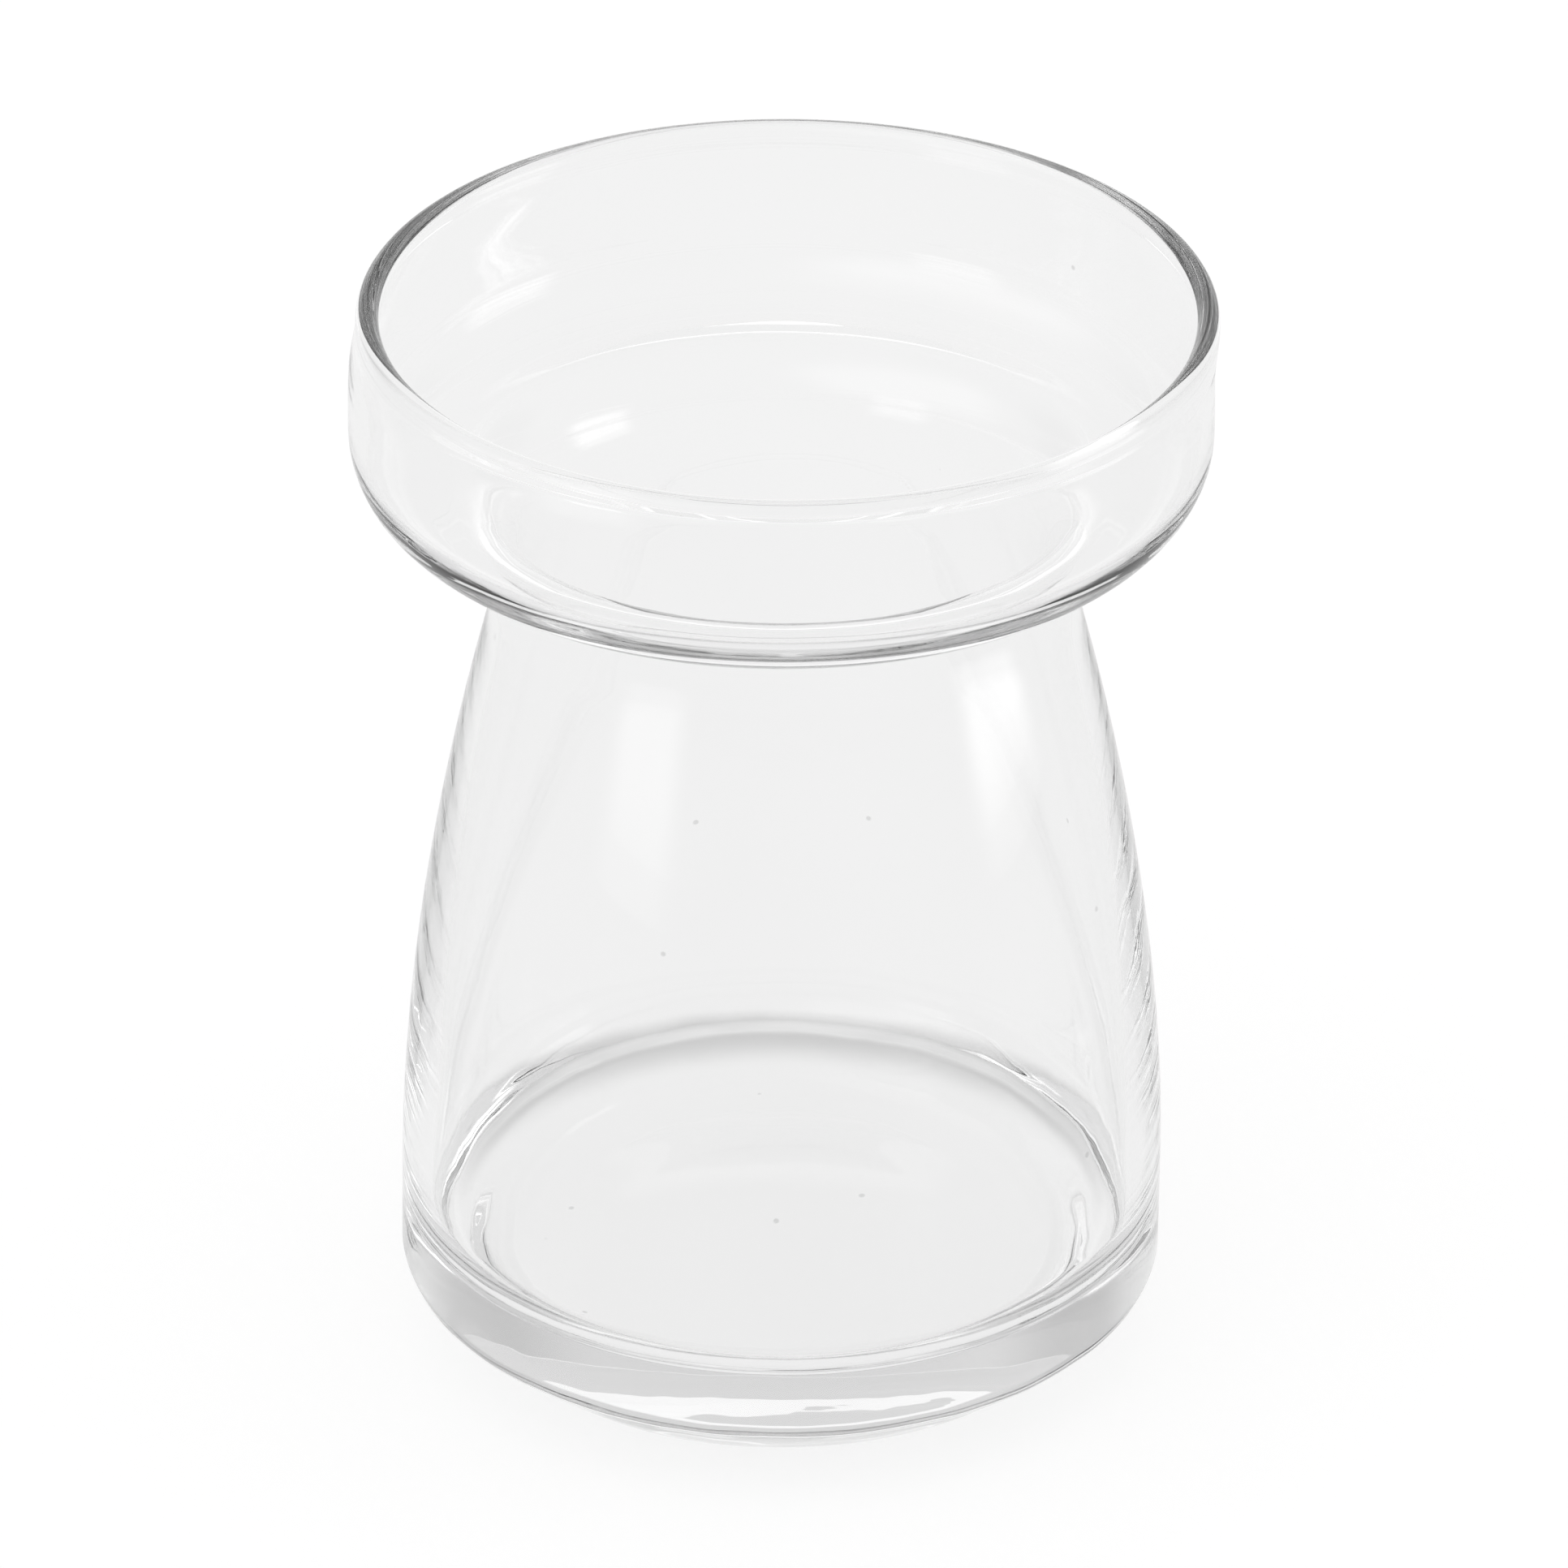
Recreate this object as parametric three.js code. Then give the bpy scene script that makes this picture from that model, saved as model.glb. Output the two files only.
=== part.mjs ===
// Clear glass bulb vase: a wide shallow cup on a bell-shaped body, with a narrow throat between
// them and a thick solid base. Millimetres, +Z up, origin on the table under the vase's axis.
//
// The real vase is one piece of glass. Each mesh here is one zone of that piece, cut level where
// the glass changes form, so that every zone meets the next on a flat ring of the same radii.

import * as THREE from 'three';

// Overall height, the facets round the axis, and the straight steps along each kind of curve
const height = 134.5;
const facets = 64;
const arcSteps = 5;
const beadSteps = 6;
const roundingSteps = 3;
const shallowSteps = 4;
const bellSteps = 8;

// Lip: a fire-polished bead, set in a little from the cup's widest line and swollen on its inside
const lipSetback = 0.2;
const lipBead = 2.5;
const lipHeight = 4.5;

// Cup: an almost upright wall, a round corner and a narrow floor
const cupRadius = 50.2;
const cupDepth = 24.2;
const cupCornerRadius = 9;
const cupWall = 2.2;
const cupFloorThickness = 2.8;
const cupFloorFlat = 1.9;

// Neck: the waist of the vase, where the cup's floor has turned down into the throat
const neckRadius = 33.3;
const neckWall = 2.6;
const waistDrop = 31.2;
const neckHeight = 7.4;
const neckFlare = 1;

// Body: a bell that swells from the neck and ends upright on the base
const bodyRadius = 45.3;
const shoulderWall = 2.4;
const baseWall = 3.6;
const shoulderSwell = 29;
const bellyRise = 20;

// Base: solid glass, with a dished floor inside, a sloped heel and a slightly hollow underside
const floorEdgeHeight = 14.6;
const floorDish = 0.8;
const filletWidth = 5;
const filletRise = 7;
const heelAngle = THREE.MathUtils.degToRad(38.9);
const heelRounding = 3.3;
const footRadius = 29.3;
const footRounding = 13;
const footWidth = 5;
const puntHeight = 0.5;

// Levels where one zone meets the next, from the lip down
const lipLevel = height - lipHeight;
const cupUnderside = height - cupDepth;
const cornerLevel = cupUnderside + cupCornerRadius;
const cupFloorLevel = cupUnderside + cupFloorThickness;
const waistLevel = height - waistDrop;
const shoulderLevel = waistLevel - neckHeight;
const baseLevel = floorEdgeHeight + filletRise;

// Radii that neighbouring zones share
const lipRadius = cupRadius - lipSetback;
const lipInside = lipRadius - cupWall;
const cupInside = cupRadius - cupWall;
const cornerRadius = cupRadius - cupCornerRadius;
const neckInside = neckRadius - neckWall;
const shoulderRadius = neckRadius + neckFlare;
const shoulderInside = shoulderRadius - shoulderWall;
const bodyInside = bodyRadius - baseWall;

const halfTurn = Math.PI;
const quarterTurn = Math.PI / 2;

// A zone is its outline turned round the vase's axis, in clear glass of its own.
function glassZone(name, outline, curveSteps) {
  const points = outline.getPoints(curveSteps);
  const geometry = new THREE.LatheGeometry(points, facets);
  geometry.rotateX(quarterTurn);
  const glass = new THREE.MeshStandardMaterial({
    color: 0xf1f5f4,
    roughness: 0.03,
    metalness: 0,
    transparent: true,
    opacity: 0.35,
  });
  const zone = new THREE.Mesh(geometry, glass);
  zone.name = name;
  return zone;
}

// Adds an arc to an outline as a few straight steps. The centre is a radius and a level, the reach is
// how far the arc stands off across and upright, and angles run from the radius axis towards +Z.
function addArc(outline, centre, reach, from, to, steps) {
  for (let step = 1; step <= steps; step += 1) {
    const angle = from + (to - from) * (step / steps);
    const radius = centre[0] + reach[0] * Math.cos(angle);
    const level = centre[1] + reach[1] * Math.sin(angle);
    outline.lineTo(radius, level);
  }
}

// The lip is a straight run of wall with a full round over its top edge.
function lip() {
  const beadRadius = lipBead / 2;
  const beadCentre = [lipRadius - beadRadius, height - beadRadius];
  const beadReach = [beadRadius, beadRadius];
  const outline = new THREE.Path();
  outline.moveTo(lipInside, lipLevel);
  outline.lineTo(lipRadius, lipLevel);
  outline.lineTo(lipRadius, beadCentre[1]);
  addArc(outline, beadCentre, beadReach, 0, halfTurn, beadSteps);
  outline.lineTo(lipInside, lipLevel);
  return glassZone('lip', outline, shallowSteps);
}

// The cup wall bows out slightly on its way down to the corner.
function cupWallZone() {
  const bowLevel = (lipLevel + cornerLevel) / 2;
  const outline = new THREE.Path();
  outline.moveTo(cupInside, cornerLevel);
  outline.lineTo(cupRadius, cornerLevel);
  outline.lineTo(cupRadius, bowLevel);
  outline.lineTo(lipRadius, lipLevel);
  outline.lineTo(lipInside, lipLevel);
  outline.lineTo(cupInside, bowLevel);
  outline.lineTo(cupInside, cornerLevel);
  return glassZone('cup_wall', outline, shallowSteps);
}

// The cup's corner, floor and throat are one double-reversed sweep: round inwards from the wall,
// level for a short ring, and then over and down into the neck.
function cupFloor() {
  const corner = [cornerRadius, cornerLevel];
  const cornerReach = [cupCornerRadius, cupCornerRadius];
  const innerCornerReach = [cupInside - cornerRadius, cornerLevel - cupFloorLevel];
  const throat = [cornerRadius - cupFloorFlat, waistLevel];
  const flareReach = [throat[0] - neckRadius, cupUnderside - waistLevel];
  const throatReach = [throat[0] - neckInside, cupFloorLevel - waistLevel];
  const outline = new THREE.Path();
  outline.moveTo(neckInside, waistLevel);
  outline.lineTo(neckRadius, waistLevel);
  addArc(outline, throat, flareReach, halfTurn, quarterTurn, arcSteps);
  outline.lineTo(cornerRadius, cupUnderside);
  addArc(outline, corner, cornerReach, -quarterTurn, 0, arcSteps);
  outline.lineTo(cupInside, cornerLevel);
  addArc(outline, corner, innerCornerReach, 0, -quarterTurn, arcSteps);
  outline.lineTo(throat[0], cupFloorLevel);
  addArc(outline, throat, throatReach, quarterTurn, halfTurn, arcSteps);
  return glassZone('cup_floor', outline, shallowSteps);
}

// The neck stands upright at the waist and leans out as it comes down to the shoulder.
function neck() {
  const leanLevel = (waistLevel + shoulderLevel) / 2;
  const outline = new THREE.Path();
  outline.moveTo(shoulderInside, shoulderLevel);
  outline.lineTo(shoulderRadius, shoulderLevel);
  outline.quadraticCurveTo(neckRadius, leanLevel, neckRadius, waistLevel);
  outline.lineTo(neckInside, waistLevel);
  outline.quadraticCurveTo(neckInside, leanLevel, shoulderInside, shoulderLevel);
  return glassZone('neck', outline, shallowSteps);
}

// The body's curve leaves the base upright and arrives at the neck on the neck's own slope.
function body() {
  const lean = new THREE.Vector2(neckFlare, -neckHeight / 2).setLength(shoulderSwell);
  const swellLevel = shoulderLevel + lean.y;
  const bellyLevel = baseLevel + bellyRise;
  const outline = new THREE.Path();
  outline.moveTo(bodyInside, baseLevel);
  outline.lineTo(bodyRadius, baseLevel);
  outline.bezierCurveTo(
    bodyRadius, bellyLevel,
    shoulderRadius + lean.x, swellLevel,
    shoulderRadius, shoulderLevel,
  );
  outline.lineTo(shoulderInside, shoulderLevel);
  outline.bezierCurveTo(
    shoulderInside + lean.x, swellLevel,
    bodyInside, bellyLevel,
    bodyInside, baseLevel,
  );
  return glassZone('body', outline, bellSteps);
}

// The base is solid. Its heel is a cone that rounds into the wall above and into the flat foot ring
// below, the punt is a slight hollow inside that ring, and the dished floor sweeps up into the wall.
function base() {
  const heelTurn = heelAngle - quarterTurn;
  const footEdgeRadius = footRadius + footRounding * Math.cos(heelTurn);
  const footEdgeLevel = footRounding + footRounding * Math.sin(heelTurn);
  const heelRadius = bodyRadius - heelRounding;
  const heelEdgeRadius = heelRadius + heelRounding * Math.cos(heelTurn);
  const heelEdgeLevel = footEdgeLevel + (heelEdgeRadius - footEdgeRadius) * Math.tan(heelAngle);
  const heelLevel = heelEdgeLevel - heelRounding * Math.sin(heelTurn);
  const foot = [footRadius, footRounding];
  const heel = [heelRadius, heelLevel];
  const fillet = [bodyInside - filletWidth, baseLevel];
  const puntRadius = footRadius - footWidth;
  const floorLevel = floorEdgeHeight - floorDish;
  const outline = new THREE.Path();
  outline.moveTo(0, puntHeight);
  outline.quadraticCurveTo(puntRadius / 2, puntHeight, puntRadius, 0);
  outline.lineTo(footRadius, 0);
  addArc(outline, foot, [footRounding, footRounding], -quarterTurn, heelTurn, arcSteps);
  outline.lineTo(heelEdgeRadius, heelEdgeLevel);
  addArc(outline, heel, [heelRounding, heelRounding], heelTurn, 0, roundingSteps);
  outline.lineTo(bodyRadius, baseLevel);
  outline.lineTo(bodyInside, baseLevel);
  addArc(outline, fillet, [filletWidth, filletRise], 0, -quarterTurn, arcSteps);
  outline.quadraticCurveTo(fillet[0] / 2, floorLevel, 0, floorLevel);
  return glassZone('base', outline, shallowSteps);
}

const vase = new THREE.Group();
vase.add(base(), body(), neck(), cupFloor(), cupWallZone(), lip());

export default vase;
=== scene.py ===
import math

import bmesh
import bpy
from mathutils import Euler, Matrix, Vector


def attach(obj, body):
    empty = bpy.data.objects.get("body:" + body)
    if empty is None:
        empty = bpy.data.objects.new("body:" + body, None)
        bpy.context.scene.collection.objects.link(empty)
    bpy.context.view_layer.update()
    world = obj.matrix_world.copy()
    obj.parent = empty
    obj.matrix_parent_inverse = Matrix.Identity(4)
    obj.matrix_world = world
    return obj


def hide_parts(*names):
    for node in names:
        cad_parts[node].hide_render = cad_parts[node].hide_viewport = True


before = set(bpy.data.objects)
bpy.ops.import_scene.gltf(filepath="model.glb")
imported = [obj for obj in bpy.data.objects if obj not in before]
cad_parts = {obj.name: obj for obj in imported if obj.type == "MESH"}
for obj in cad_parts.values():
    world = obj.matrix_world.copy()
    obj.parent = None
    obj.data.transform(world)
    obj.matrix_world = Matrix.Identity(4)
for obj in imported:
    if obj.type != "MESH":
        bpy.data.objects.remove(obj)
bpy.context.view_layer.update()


# The vase: one piece of clear soda-lime glass, blown in a mould that gives it a wide cup, a narrow throat
# and a bell-shaped body over a thick solid base. Its lip is fire-polished to a round bead, and it stands
# on a flat ring round a slightly hollow underside. Its wall is one closed outline turned round the axis.
mm = 0.001
vase_sizes = {
    "Height": 134.5 * mm,
    "Lip Setback": 0.3 * mm,
    "Lip Bead": 2.7 * mm,
    "Lip Height": 3.8 * mm,
    "Cup Radius": 50.2 * mm,
    "Cup Depth": 24.2 * mm,
    "Cup Corner": 9.0 * mm,
    "Cup Wall": 1.9 * mm,
    "Cup Floor": 2.8 * mm,
    "Cup Floor Flat": 1.9 * mm,
    "Neck Radius": 33.3 * mm,
    "Neck Wall": 2.6 * mm,
    "Waist Drop": 31.2 * mm,
    "Neck Height": 7.4 * mm,
    "Neck Flare": 1.0 * mm,
    "Body Radius": 45.3 * mm,
    "Shoulder Wall": 2.4 * mm,
    "Base Wall": 3.6 * mm,
    "Shoulder Swell": 28.0 * mm,
    "Belly Rise": 20.0 * mm,
    "Floor Edge": 14.6 * mm,
    "Floor Dish": 0.8 * mm,
    "Fillet Width": 5.0 * mm,
    "Fillet Rise": 7.0 * mm,
    "Heel Radius": 33.9 * mm,
    "Heel Height": 9.2 * mm,
    "Heel Rounding": 1.6 * mm,
    "Foot Rounding": 4.6 * mm,
    "Foot Width": 5.0 * mm,
    "Punt Height": 0.5 * mm,
    "Ripple": 0.08 * mm,
    "Ripple Length": 11.0 * mm,
    "Flow": 0.2 * mm,
    "Flow Length": 10.0 * mm,
}
heel_slope = math.radians(38.9)

turning = bpy.data.node_groups.new("turned_glass", "GeometryNodeTree")
turning.interface.new_socket("Vase", in_out="OUTPUT", socket_type="NodeSocketGeometry")
size_identifiers = {}
for size_name in vase_sizes:
    size_socket = turning.interface.new_socket(size_name, in_out="INPUT", socket_type="NodeSocketFloat")
    size_identifiers[size_name] = size_socket.identifier
turning_inputs = turning.nodes.new("NodeGroupInput")
turning_output = turning.nodes.new("NodeGroupOutput")


def feed(tree, value, socket):
    """Sets a socket to a plain value, or links another socket or a length to it."""
    source = value.socket if isinstance(value, Size) else value
    if isinstance(source, bpy.types.NodeSocket):
        tree.links.new(source, socket)
    else:
        socket.default_value = source


def calculate(tree, operation, *operands):
    """Adds a Math node on numbers, sockets or lengths."""
    node = tree.nodes.new("ShaderNodeMath")
    node.operation = operation
    for operand, socket in zip(operands, node.inputs):
        feed(tree, operand, socket)
    return node.outputs[0]


class Size:
    """A length in the turning tree. Arithmetic on it adds Math nodes."""

    def __init__(self, socket):
        self.socket = socket

    def __add__(self, other):
        return Size(calculate(turning, "ADD", self, other))

    def __sub__(self, other):
        return Size(calculate(turning, "SUBTRACT", self, other))

    def __mul__(self, other):
        return Size(calculate(turning, "MULTIPLY", self, other))

    def __truediv__(self, other):
        return Size(calculate(turning, "DIVIDE", self, other))


def size(name):
    return Size(turning_inputs.outputs[name])


def station(radius, level):
    """A point of the outline, at a radius and a level."""
    node = turning.nodes.new("ShaderNodeCombineXYZ")
    feed(turning, radius, node.inputs["X"])
    feed(turning, level, node.inputs["Y"])
    return node.outputs[0]


def typed_socket(sockets, name, kind):
    """The socket of one kind, on a node that has several sockets of that name."""
    return next(socket for socket in sockets if socket.name == name and socket.type == kind)


def toward(start, end, share):
    """The point that lies a share of the way from one point to another."""
    node = turning.nodes.new("ShaderNodeMix")
    node.data_type = "VECTOR"
    feed(turning, share, node.inputs["Factor"])
    feed(turning, start, typed_socket(node.inputs, "A", "VECTOR"))
    feed(turning, end, typed_socket(node.inputs, "B", "VECTOR"))
    return typed_socket(node.outputs, "Result", "VECTOR")


outline_runs = []


def swell(start, start_pull, end_pull, end, steps):
    """A run of the outline whose ends leave towards their pull points."""
    node = turning.nodes.new("GeometryNodeCurvePrimitiveBezierSegment")
    node.inputs["Resolution"].default_value = steps
    points = {"Start": start, "Start Handle": start_pull, "End Handle": end_pull, "End": end}
    for socket_name, point in points.items():
        feed(turning, point, node.inputs[socket_name])
    outline_runs.append(node.outputs[0])


def arc_fullness(turn_angle):
    """How far an arc's pull points lie towards its corner."""
    return 4 / 3 * math.tan(turn_angle / 4) / math.tan(turn_angle / 2)


quarter_round = arc_fullness(math.pi / 2)
soft_round = 2 / 3


def bend(start, corner, end, steps, fullness=quarter_round):
    """A run that rounds a corner. The quarter round gives an arc of a circle or an ellipse."""
    swell(start, toward(start, corner, fullness), toward(end, corner, fullness), end, steps)


def straight(start, end, steps):
    swell(start, toward(start, end, 1 / 3), toward(start, end, 2 / 3), end, steps)


height = size("Height")
cup_radius = size("Cup Radius")
neck_radius = size("Neck Radius")
body_radius = size("Body Radius")
heel_radius = size("Heel Radius")
heel_height = size("Heel Height")
foot_rounding = size("Foot Rounding")
heel_rounding = size("Heel Rounding")
punt_height = size("Punt Height")
floor_edge = size("Floor Edge")
lip_bead = size("Lip Bead")
cup_wall = size("Cup Wall")
neck_flare = size("Neck Flare")
swell_length = size("Shoulder Swell")

lip_radius = cup_radius - size("Lip Setback")
lip_inside = lip_radius - cup_wall
lip_level = height - size("Lip Height")
bead_level = height - lip_bead / 2
bead_radius = lip_radius - lip_bead / 2
bead_inside = lip_radius - lip_bead
bead_neck_level = (bead_level + lip_level) / 2
cup_inside = cup_radius - cup_wall
cup_underside = height - size("Cup Depth")
corner_level = cup_underside + size("Cup Corner")
corner_radius = cup_radius - size("Cup Corner")
bow_level = (lip_level + corner_level) / 2
cup_floor_level = cup_underside + size("Cup Floor")
throat_radius = corner_radius - size("Cup Floor Flat")
neck_inside = neck_radius - size("Neck Wall")
waist_level = height - size("Waist Drop")
shoulder_level = waist_level - size("Neck Height")
lean_level = (waist_level + shoulder_level) / 2
shoulder_radius = neck_radius + neck_flare
shoulder_inside = shoulder_radius - size("Shoulder Wall")
shoulder_lean = neck_flare / size("Neck Height") * 2
swell_level = shoulder_level - swell_length
swell_radius = shoulder_radius + swell_length * shoulder_lean
swell_inside = shoulder_inside + swell_length * shoulder_lean
body_inside = body_radius - size("Base Wall")
base_level = floor_edge + size("Fillet Rise")
belly_level = base_level + size("Belly Rise")
heel_run = body_radius - heel_radius
heel_length = calculate(turning, "POWER", heel_run * heel_run + heel_height * heel_height, 0.5)
foot_radius = heel_radius - foot_rounding
punt_radius = foot_radius - size("Foot Width")
floor_radius = body_inside - size("Fillet Width")
floor_level = floor_edge - size("Floor Dish")

foot_outer = station(foot_radius, 0.0)
foot_inner = station(punt_radius, 0.0)
heel_foot = station(heel_radius, 0.0)
heel_corner = station(body_radius, heel_height)
foot_end = toward(heel_foot, heel_corner, foot_rounding / heel_length)
heel_start = toward(heel_corner, heel_foot, heel_rounding / heel_length)
heel_end = station(body_radius, heel_height + heel_rounding)
base_outer = station(body_radius, base_level)
shoulder_outer = station(shoulder_radius, shoulder_level)
waist_outer = station(neck_radius, waist_level)
flare_outer = station(throat_radius, cup_underside)
corner_outer = station(corner_radius, cup_underside)
wall_outer = station(cup_radius, corner_level)
lip_outer = station(lip_radius, lip_level)
bead_outer = station(lip_radius, bead_level)
bead_top = station(bead_radius, height)
bead_inner = station(bead_inside, bead_level)
lip_inner = station(lip_inside, lip_level)
wall_inner = station(cup_inside, corner_level)
corner_inner = station(corner_radius, cup_floor_level)
flare_inner = station(throat_radius, cup_floor_level)
waist_inner = station(neck_inside, waist_level)
shoulder_inner = station(shoulder_inside, shoulder_level)
base_inner = station(body_inside, base_level)
fillet_inner = station(floor_radius, floor_edge)

flat_steps = 2
neck_steps = 5
bead_neck_steps = 5
bow_steps = 6
heel_steps = 6
rounding_steps = 8
bead_steps = 10
dish_steps = 12
flare_steps = 12
corner_steps = 14
throat_steps = 14
bell_steps = 24

# Outside of the glass, from the middle of the underside up to the lip
bend(station(0.0, punt_height), station(punt_radius / 2, punt_height), foot_inner, dish_steps, soft_round)
straight(foot_inner, foot_outer, flat_steps)
bend(foot_outer, heel_foot, foot_end, rounding_steps, arc_fullness(heel_slope))
straight(foot_end, heel_start, heel_steps)
bend(heel_start, heel_corner, heel_end, rounding_steps, arc_fullness(math.pi / 2 - heel_slope))
straight(heel_end, base_outer, flat_steps)
swell(
    base_outer,
    station(body_radius, belly_level),
    station(swell_radius, swell_level),
    shoulder_outer,
    bell_steps,
)
bend(shoulder_outer, station(neck_radius, lean_level), waist_outer, neck_steps, soft_round)
bend(waist_outer, station(neck_radius, cup_underside), flare_outer, flare_steps)
straight(flare_outer, corner_outer, flat_steps)
bend(corner_outer, station(cup_radius, cup_underside), wall_outer, corner_steps)
bend(wall_outer, station(cup_radius, bow_level), lip_outer, bow_steps, soft_round)
straight(lip_outer, bead_outer, flat_steps)
bend(bead_outer, station(lip_radius, height), bead_top, bead_steps)

# Inside of the glass, from the lip down to the middle of the floor
bend(bead_top, station(bead_inside, height), bead_inner, bead_steps)
swell(
    bead_inner,
    station(bead_inside, bead_neck_level),
    station(lip_inside, bead_neck_level),
    lip_inner,
    bead_neck_steps,
)
bend(lip_inner, station(cup_inside, bow_level), wall_inner, bow_steps, soft_round)
bend(wall_inner, station(cup_inside, cup_floor_level), corner_inner, corner_steps)
straight(corner_inner, flare_inner, flat_steps)
bend(flare_inner, station(neck_inside, cup_floor_level), waist_inner, throat_steps)
bend(waist_inner, station(neck_inside, lean_level), shoulder_inner, neck_steps, soft_round)
swell(
    shoulder_inner,
    station(swell_inside, swell_level),
    station(body_inside, belly_level),
    base_inner,
    bell_steps,
)
bend(base_inner, station(body_inside, floor_edge), fillet_inner, corner_steps)
bend(
    fillet_inner,
    station(floor_radius / 2, floor_level),
    station(0.0, floor_level),
    dish_steps,
    soft_round,
)

outline = turning.nodes.new("GeometryNodeJoinGeometry")
for run in outline_runs:
    turning.links.new(run, outline.inputs[0])

# The outline's own plane is laid off from the turning circle, whose frame has its second axis downwards.
turning_radius = vase_sizes["Body Radius"]
facets = 448
weld_reach = 0.002 * mm
lay_off = turning.nodes.new("GeometryNodeTransform")
lay_off.inputs["Translation"].default_value = (-turning_radius, 0.0, 0.0)
lay_off.inputs["Scale"].default_value = (1.0, -1.0, 1.0)
turning.links.new(outline.outputs[0], lay_off.inputs[0])
circle = turning.nodes.new("GeometryNodeCurvePrimitiveCircle")
circle.inputs["Resolution"].default_value = facets
circle.inputs["Radius"].default_value = turning_radius
turn = turning.nodes.new("GeometryNodeCurveToMesh")
turning.links.new(circle.outputs[0], turn.inputs["Curve"])
turning.links.new(lay_off.outputs[0], turn.inputs["Profile Curve"])
weld = turning.nodes.new("GeometryNodeMergeByDistance")
weld.inputs["Distance"].default_value = weld_reach
turning.links.new(turn.outputs[0], weld.inputs["Geometry"])

# The mould leaves the glass a little uneven, most in the thick base, where the heel also has slow waves
# that run round it. The glass stands a hair out of true, with the cup to the left and the lip and the body
# to the right. The foot stays flat.
foot_span = (1 * mm, 4 * mm)
heel_span = (8 * mm, 13 * mm)
thinning_span = (10 * mm, 40 * mm)
thin_wall_ripple = 0.3
even_draw = 1.0
flow_draw = 2.5
mould_detail = 1.0
standing_span = (2 * mm, 40 * mm)
neck_span = (95 * mm, 112 * mm)
lip_span = (126 * mm, 133 * mm)
body_lean = 0.25 * mm
cup_lean = -0.3 * mm
lip_lean_back = 0.7 * mm
place = turning.nodes.new("GeometryNodeInputPosition").outputs[0]
place_axes = turning.nodes.new("ShaderNodeSeparateXYZ")
turning.links.new(place, place_axes.inputs[0])


def fade(tree, value, span, levels, interpolation="SMOOTHSTEP"):
    """Goes from the first level to the second while the value crosses its span."""
    node = tree.nodes.new("ShaderNodeMapRange")
    node.interpolation_type = interpolation
    tree.links.new(value, node.inputs["Value"])
    for socket_name, number in zip(("From Min", "From Max", "To Min", "To Max"), (*span, *levels)):
        node.inputs[socket_name].default_value = number
    return node.outputs["Result"]


def share_by_level(span, start_share, end_share):
    return Size(fade(turning, place_axes.outputs["Z"], span, (start_share, end_share)))


def glass_waves(length, upright_draw):
    """Soft waves of -1 to 1. An upright draw above 1 makes them run round the vase."""
    draw = turning.nodes.new("ShaderNodeVectorMath")
    draw.operation = "MULTIPLY"
    turning.links.new(place, draw.inputs[0])
    draw.inputs[1].default_value = (1.0, 1.0, upright_draw)
    noise = turning.nodes.new("ShaderNodeTexNoise")
    noise.inputs["Detail"].default_value = mould_detail
    turning.links.new(draw.outputs[0], noise.inputs["Vector"])
    turning.links.new(calculate(turning, "DIVIDE", 1.0, length), noise.inputs["Scale"])
    return (Size(noise.outputs[0]) - 0.5) * 2


above_foot = share_by_level(foot_span, 0.0, 1.0)
ripple_share = share_by_level(thinning_span, 1.0, thin_wall_ripple) * above_foot
flow_share = share_by_level(heel_span, 1.0, 0.0) * above_foot
ripple_depth = glass_waves(size("Ripple Length"), even_draw) * size("Ripple") * ripple_share
flow_depth = glass_waves(size("Flow Length"), flow_draw) * size("Flow") * flow_share
surface_normal = turning.nodes.new("GeometryNodeInputNormal")
ripple_offset = turning.nodes.new("ShaderNodeVectorMath")
ripple_offset.operation = "SCALE"
turning.links.new(surface_normal.outputs[0], ripple_offset.inputs[0])
feed(turning, ripple_depth + flow_depth, ripple_offset.inputs["Scale"])
lean = share_by_level(neck_span, body_lean, cup_lean) + share_by_level(lip_span, 0.0, lip_lean_back)
lean = lean * share_by_level(standing_span, 0.0, 1.0)
unevenness = turning.nodes.new("ShaderNodeVectorMath")
turning.links.new(ripple_offset.outputs[0], unevenness.inputs[0])
turning.links.new(station(lean, 0.0), unevenness.inputs[1])
uneven = turning.nodes.new("GeometryNodeSetPosition")
turning.links.new(weld.outputs[0], uneven.inputs["Geometry"])
turning.links.new(unevenness.outputs[0], uneven.inputs["Offset"])
smooth = turning.nodes.new("GeometryNodeSetShadeSmooth")
turning.links.new(uneven.outputs[0], smooth.inputs[0])

# Clear glass: its tint drifts a little, a few fine seeds are trapped under its skin, and the skin itself is
# fire-polished, with faint waves and the slightest haze. Thick glass takes up some of the light.
bright_tint = (0.995, 0.995, 0.995, 1.0)
dull_tint = (0.985, 0.985, 0.985, 1.0)
seed_grey = (0.6, 0.6, 0.6, 1.0)
depth_grey = (0.43, 0.43, 0.43, 1.0)
depth_density = 5.0
glass_bending = 1.5
tint_per_metre = 22.0
tint_detail = 2.0
tint_span = (0.35, 0.65)
seeds_per_metre = 62.0
seed_rim = (0.018, 0.028)
haze_per_metre = 90.0
haze_detail = 3.0
haze_span = (0.4, 0.7)
most_haze = 0.012
waves_per_metre = 260.0
wave_detail = 2.0
wave_strength = 0.03
wave_depth = 0.1 * mm
clear_glass = bpy.data.materials.new("clear_glass")
clear_glass.use_nodes = True
glass_tree = clear_glass.node_tree
glass_nodes = glass_tree.nodes
glass_links = glass_tree.links
glass_place = glass_nodes.new("ShaderNodeTexCoord").outputs["Object"]


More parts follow.
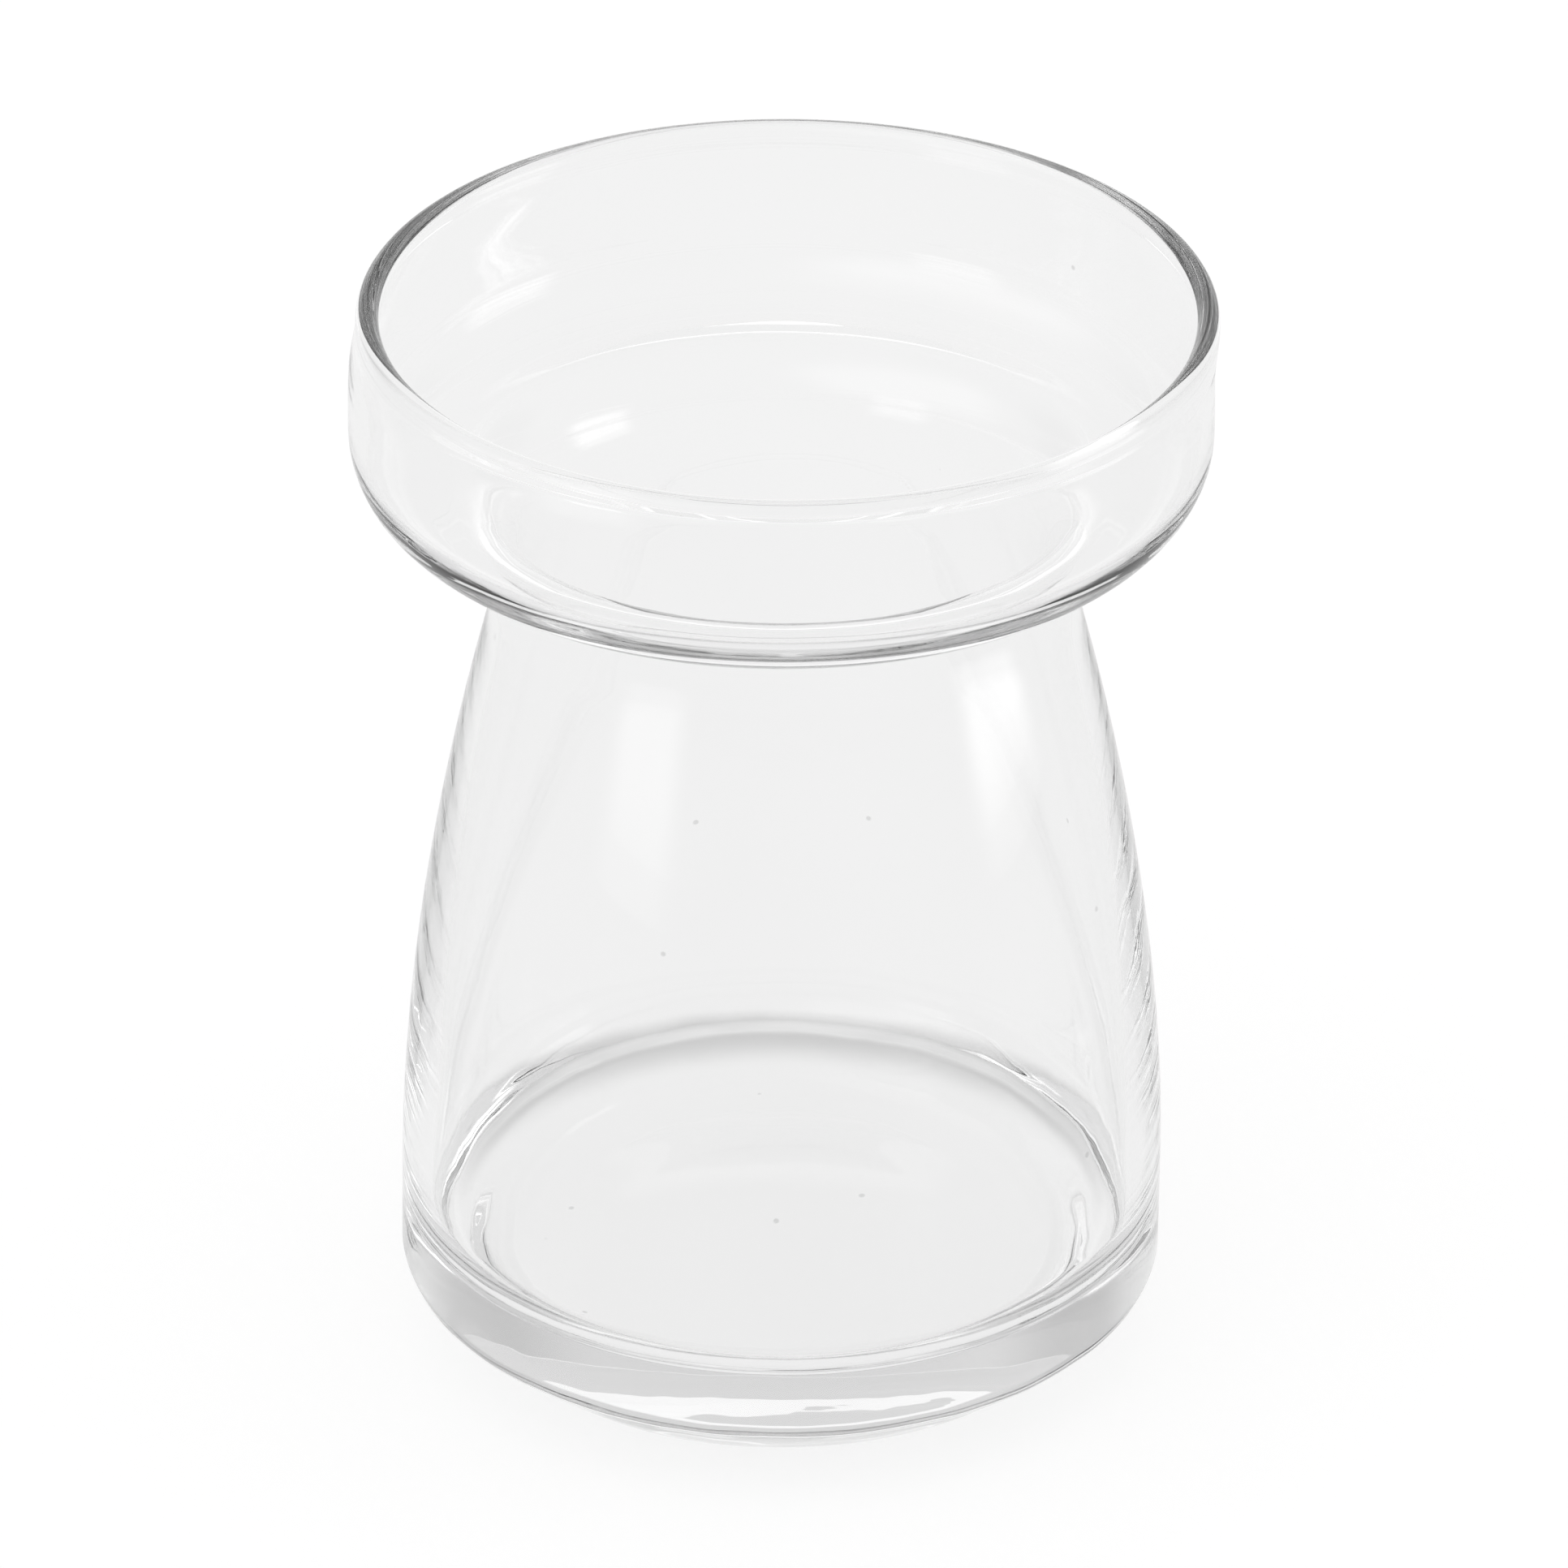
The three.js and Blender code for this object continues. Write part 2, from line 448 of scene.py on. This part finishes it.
def glass_noise(per_metre, detail):
    node = glass_nodes.new("ShaderNodeTexNoise")
    node.inputs["Scale"].default_value = per_metre
    node.inputs["Detail"].default_value = detail
    glass_links.new(glass_place, node.inputs["Vector"])
    return node.outputs["Fac"]


def glass_blend(share, first, second):
    node = glass_nodes.new("ShaderNodeMix")
    node.data_type = "RGBA"
    glass_links.new(share, node.inputs["Factor"])
    feed(glass_tree, first, typed_socket(node.inputs, "A", "RGBA"))
    feed(glass_tree, second, typed_socket(node.inputs, "B", "RGBA"))
    return typed_socket(node.outputs, "Result", "RGBA")


tint_drift = fade(glass_tree, glass_noise(tint_per_metre, tint_detail), tint_span, (0.0, 1.0), "LINEAR")
tint = glass_blend(tint_drift, bright_tint, dull_tint)
seeds = glass_nodes.new("ShaderNodeTexVoronoi")
seeds.inputs["Scale"].default_value = seeds_per_metre
glass_links.new(glass_place, seeds.inputs["Vector"])
seed_share = fade(glass_tree, seeds.outputs["Distance"], seed_rim, (1.0, 0.0), "LINEAR")
glass_colour = glass_blend(seed_share, tint, seed_grey)
haze = fade(glass_tree, glass_noise(haze_per_metre, haze_detail), haze_span, (0.0, most_haze), "LINEAR")
waves = glass_nodes.new("ShaderNodeBump")
waves.inputs["Strength"].default_value = wave_strength
waves.inputs["Distance"].default_value = wave_depth
glass_links.new(glass_noise(waves_per_metre, wave_detail), waves.inputs["Height"])

glass_shader = glass_nodes["Principled BSDF"]
glass_links.new(glass_colour, glass_shader.inputs["Base Color"])
glass_links.new(haze, glass_shader.inputs["Roughness"])
glass_links.new(waves.outputs["Normal"], glass_shader.inputs["Normal"])
glass_shader.inputs["IOR"].default_value = glass_bending
glass_shader.inputs["Transmission Weight"].default_value = 1.0
glass_depth = glass_nodes.new("ShaderNodeVolumeAbsorption")
glass_depth.inputs["Color"].default_value = depth_grey
glass_depth.inputs["Density"].default_value = depth_density
glass_links.new(glass_depth.outputs[0], glass_nodes["Material Output"].inputs["Volume"])

realize = turning.nodes.new("GeometryNodeRealizeInstances")
turning.links.new(smooth.outputs[0], realize.inputs[0])
glaze = turning.nodes.new("GeometryNodeSetMaterial")
glaze.inputs["Material"].default_value = clear_glass
turning.links.new(realize.outputs[0], glaze.inputs[0])
turning.links.new(glaze.outputs[0], turning_output.inputs[0])

blank = bpy.data.objects.new("vase_blank", bpy.data.meshes.new("vase_blank"))
bpy.context.collection.objects.link(blank)
turner = blank.modifiers.new("turned_glass", "NODES")
turner.node_group = turning
for size_name, value in vase_sizes.items():
    turner[size_identifiers[size_name]] = value
turned = blank.evaluated_get(bpy.context.evaluated_depsgraph_get())
vase_mesh = bpy.data.meshes.new_from_object(turned)
bpy.data.objects.remove(blank)

vase_shape = bmesh.new()
vase_shape.from_mesh(vase_mesh)
bmesh.ops.recalc_face_normals(vase_shape, faces=vase_shape.faces)
vase_shape.to_mesh(vase_mesh)
vase_shape.free()
vase = bpy.data.objects.new("glass_vase", vase_mesh)
bpy.context.collection.objects.link(vase)
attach(vase, "root")
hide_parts("lip", "cup_wall", "cup_floor", "neck", "body", "base")


# The room: a pale studio that the camera sees as plain white. A broad window stands at the front left, a low
# bright panel hangs behind the vase, and two darker flags beside that panel give the clear glass its edges.
# All four are soft-edged, and only the glass and the table see them.
light_bounces = 32
room_levels = (0.85, 0.9)
white = (1.0, 1.0, 1.0, 1.0)
upright = (0.0, 0.0, 1.0)
scene = bpy.context.scene
scene.view_settings.view_transform = "Standard"
scene.cycles.max_bounces = light_bounces
scene.cycles.glossy_bounces = light_bounces
scene.cycles.transmission_bounces = light_bounces

world = bpy.data.worlds.new("studio")
scene.world = world
world.use_nodes = True
world_tree = world.node_tree
world_nodes = world_tree.nodes
world_links = world_tree.links
looking = world_nodes.new("ShaderNodeTexCoord").outputs["Generated"]


def world_share(axis):
    """How far the direction looked in lies along an axis."""
    node = world_nodes.new("ShaderNodeVectorMath")
    node.operation = "DOT_PRODUCT"
    world_links.new(looking, node.inputs[0])
    node.inputs[1].default_value = axis
    return node.outputs["Value"]


def hang_panel(room_level, azimuth, elevation, width, tall, soft_edge, level):
    """Hangs a soft-edged panel in the room. Angles in degrees, azimuth 0 towards the camera, 90 right."""
    turn_to = math.radians(azimuth)
    rise = math.radians(elevation)
    facing = (math.sin(turn_to) * math.cos(rise), -math.cos(turn_to) * math.cos(rise), math.sin(rise))
    across = (math.cos(turn_to), math.sin(turn_to), 0.0)
    upward = (-math.sin(turn_to) * math.sin(rise), math.cos(turn_to) * math.sin(rise), math.cos(rise))
    ahead = world_share(facing)
    sides = []
    for axis, reach in ((across, width / 2), (upward, tall / 2)):
        angle = calculate(world_tree, "ARCTAN2", world_share(axis), ahead)
        edge = (math.radians(reach - soft_edge), math.radians(reach + soft_edge))
        sides.append(fade(world_tree, calculate(world_tree, "ABSOLUTE", angle), edge, (1.0, 0.0)))
    mix = world_nodes.new("ShaderNodeMix")
    world_links.new(calculate(world_tree, "MULTIPLY", *sides), mix.inputs["Factor"])
    world_links.new(room_level, mix.inputs["A"])
    mix.inputs["B"].default_value = level
    return mix.outputs["Result"]


room_level = fade(world_tree, world_share(upright), (0.0, 1.0), room_levels)
room_level = hang_panel(room_level, azimuth=135, elevation=27, width=26, tall=24, soft_edge=8, level=0.68)
room_level = hang_panel(room_level, azimuth=226, elevation=22, width=24, tall=34, soft_edge=8, level=0.65)
room_level = hang_panel(room_level, azimuth=178, elevation=4, width=60, tall=18, soft_edge=8, level=1.3)
room_level = hang_panel(room_level, azimuth=305, elevation=36, width=70, tall=46, soft_edge=14, level=1.4)

room = world_nodes["Background"]
room.inputs["Color"].default_value = white
world_links.new(room_level, room.inputs["Strength"])
white_room = world_nodes.new("ShaderNodeBackground")
white_room.inputs["Color"].default_value = white


def choose_by_ray(tree, for_glass, for_camera, output):
    """Shows one surface to the camera, and another to light that comes by way of the glass."""
    path = tree.nodes.new("ShaderNodeLightPath")
    mix = tree.nodes.new("ShaderNodeMixShader")
    tree.links.new(path.outputs["Is Camera Ray"], mix.inputs["Fac"])
    tree.links.new(for_glass.outputs[0], mix.inputs[1])
    tree.links.new(for_camera.outputs[0], mix.inputs[2])
    tree.links.new(mix.outputs[0], output.inputs["Surface"])


choose_by_ray(world_tree, room, white_room, world_nodes["World Output"])


# The table: a wide matt white top just under the vase's foot, evenly lit from all round. The camera sees the
# vase's soft shadow on it. For the light that comes by way of the glass, a painted shadow darkens an arc of
# the table close behind the base.
table_reach = 30.0
table_level = -0.1 * mm
table_light = 0.91
seen_paint = 0.20
seen_light = 0.82
# Painted shadow on the table, seen only through the glass: its radius, its reach, how dark it is, and how
# far behind the base it starts.
painted_shade_radius = 48.0 * mm
painted_shade_reach = 8.0 * mm
painted_shade_depth = 0.35
painted_shade_behind = (5.0 * mm, 38.0 * mm)
square = ((-1, -1), (1, -1), (1, 1), (-1, 1))
table_mesh = bpy.data.meshes.new("floor")
table_mesh.from_pydata(
    [(x * table_reach, y * table_reach, table_level) for x, y in square],
    [],
    [(0, 1, 2, 3)],
)
table = bpy.data.objects.new("floor", table_mesh)
bpy.context.collection.objects.link(table)
white_table = bpy.data.materials.new("white_table")
white_table.use_nodes = True
table_mesh.materials.append(white_table)
table_tree = white_table.node_tree
table_nodes = table_tree.nodes
table_nodes.clear()
table_output = table_nodes.new("ShaderNodeOutputMaterial")


def table_top(paint, light):
    shader = table_nodes.new("ShaderNodeBsdfPrincipled")
    shader.inputs["Base Color"].default_value = (paint, paint, paint, 1.0)
    shader.inputs["Roughness"].default_value = 1.0
    shader.inputs["Specular IOR Level"].default_value = 0.0
    shader.inputs["Emission Color"].default_value = white
    feed(table_tree, light, shader.inputs["Emission Strength"])
    return shader


table_place = table_nodes.new("ShaderNodeNewGeometry").outputs["Position"]
table_axes = table_nodes.new("ShaderNodeSeparateXYZ")
table_tree.links.new(table_place, table_axes.inputs[0])
table_radius = table_nodes.new("ShaderNodeVectorMath")
table_radius.operation = "LENGTH"
table_tree.links.new(table_place, table_radius.inputs[0])
# The painted shadow: the table's glow is dimmed along an arc just behind the base.
off_arc = calculate(table_tree, "SUBTRACT", table_radius.outputs["Value"], painted_shade_radius)
painted_shade_arc = fade(table_tree, calculate(table_tree, "ABSOLUTE", off_arc), (0.0, painted_shade_reach), (1.0, 0.0))
behind = fade(table_tree, table_axes.outputs["Y"], painted_shade_behind, (0.0, 1.0))
shade = calculate(table_tree, "MULTIPLY", painted_shade_arc, behind)
painted_shade_levels = (table_light, table_light * (1 - painted_shade_depth))
painted_shade_light = fade(table_tree, shade, (0.0, 1.0), painted_shade_levels, "LINEAR")
choose_by_ray(table_tree, table_top(0.0, painted_shade_light), table_top(seen_paint, seen_light), table_output)


# The soft boxes: two upright frames of white cloth with a lamp behind, one at the right of the vase and one
# at the front left. They reach down to the table outside the picture, and fade out towards their edges.
def stand_soft_box(name, azimuth, distance, width, base_level, top_level, soft_share, radiance):
    """Stands a soft box round the vase. Azimuth as in the room, sizes in metres."""
    turn_to = math.radians(azimuth)
    across = Vector((math.cos(turn_to), math.sin(turn_to), 0.0)) * width / 2
    middle = Vector((math.sin(turn_to), -math.cos(turn_to), 0.0)) * distance
    heights = {-1: Vector((0.0, 0.0, base_level)), 1: Vector((0.0, 0.0, top_level))}
    mesh = bpy.data.meshes.new(name)
    mesh.from_pydata(
        [middle + across * side + heights[end] for side, end in square],
        [],
        [(0, 1, 2, 3)],
    )
    cloth_map = mesh.uv_layers.new(name="cloth")
    for corner, corner_place in enumerate(square):
        cloth_map.data[corner].uv = corner_place
    box = bpy.data.objects.new(name, mesh)
    bpy.context.collection.objects.link(box)
    box.visible_camera = False
    box.visible_shadow = False
    cloth = bpy.data.materials.new(name + "_cloth")
    cloth.use_nodes = True
    mesh.materials.append(cloth)
    tree = cloth.node_tree
    tree.nodes.clear()
    output = tree.nodes.new("ShaderNodeOutputMaterial")
    lamp = tree.nodes.new("ShaderNodeEmission")
    lamp.inputs["Strength"].default_value = radiance
    clear = tree.nodes.new("ShaderNodeBsdfTransparent")
    cloth_place = tree.nodes.new("ShaderNodeUVMap")
    cloth_axes = tree.nodes.new("ShaderNodeSeparateXYZ")
    tree.links.new(cloth_place.outputs[0], cloth_axes.inputs[0])
    sides = []
    for axis in ("X", "Y"):
        off_middle = calculate(tree, "ABSOLUTE", cloth_axes.outputs[axis])
        sides.append(fade(tree, off_middle, (1.0 - soft_share, 1.0), (1.0, 0.0)))
    mix = tree.nodes.new("ShaderNodeMixShader")
    tree.links.new(calculate(tree, "MULTIPLY", *sides), mix.inputs["Fac"])
    tree.links.new(clear.outputs[0], mix.inputs[1])
    tree.links.new(lamp.outputs[0], mix.inputs[2])
    tree.links.new(mix.outputs[0], output.inputs["Surface"])


stand_soft_box(
    "right_soft_box",
    azimuth=83,
    distance=0.42,
    width=0.28,
    base_level=-0.02,
    top_level=0.26,
    soft_share=0.5,
    radiance=2.3,
)
stand_soft_box(
    "left_soft_box",
    azimuth=310,
    distance=0.50,
    width=0.30,
    base_level=-0.06,
    top_level=0.36,
    soft_share=0.6,
    radiance=1.7,
)


# The camera: it stands in front of the vase and looks down on it by 29 degrees through a long lens. The
# slight roll and shift set the vase in the frame as the photograph has it.
camera_height = math.radians(28.995)
camera_roll = math.radians(0.281)
camera_distance = 1.5
camera_aim = Vector((0.0, 0.0, 71.36 * mm))
camera_data = bpy.data.cameras.new("camera")
camera_data.sensor_width = 36.0
camera_data.lens = 292.6
camera_data.shift_x = 0.00116
camera_data.clip_end = 50.0
camera = bpy.data.objects.new("camera", camera_data)
bpy.context.collection.objects.link(camera)
camera_side = Vector((0.0, -math.cos(camera_height), math.sin(camera_height)))
camera.location = camera_aim + camera_distance * camera_side
camera.rotation_euler = Euler((math.pi / 2 - camera_height, 0.0, 0.0))
camera.rotation_euler.rotate_axis("Z", camera_roll)
scene.camera = camera
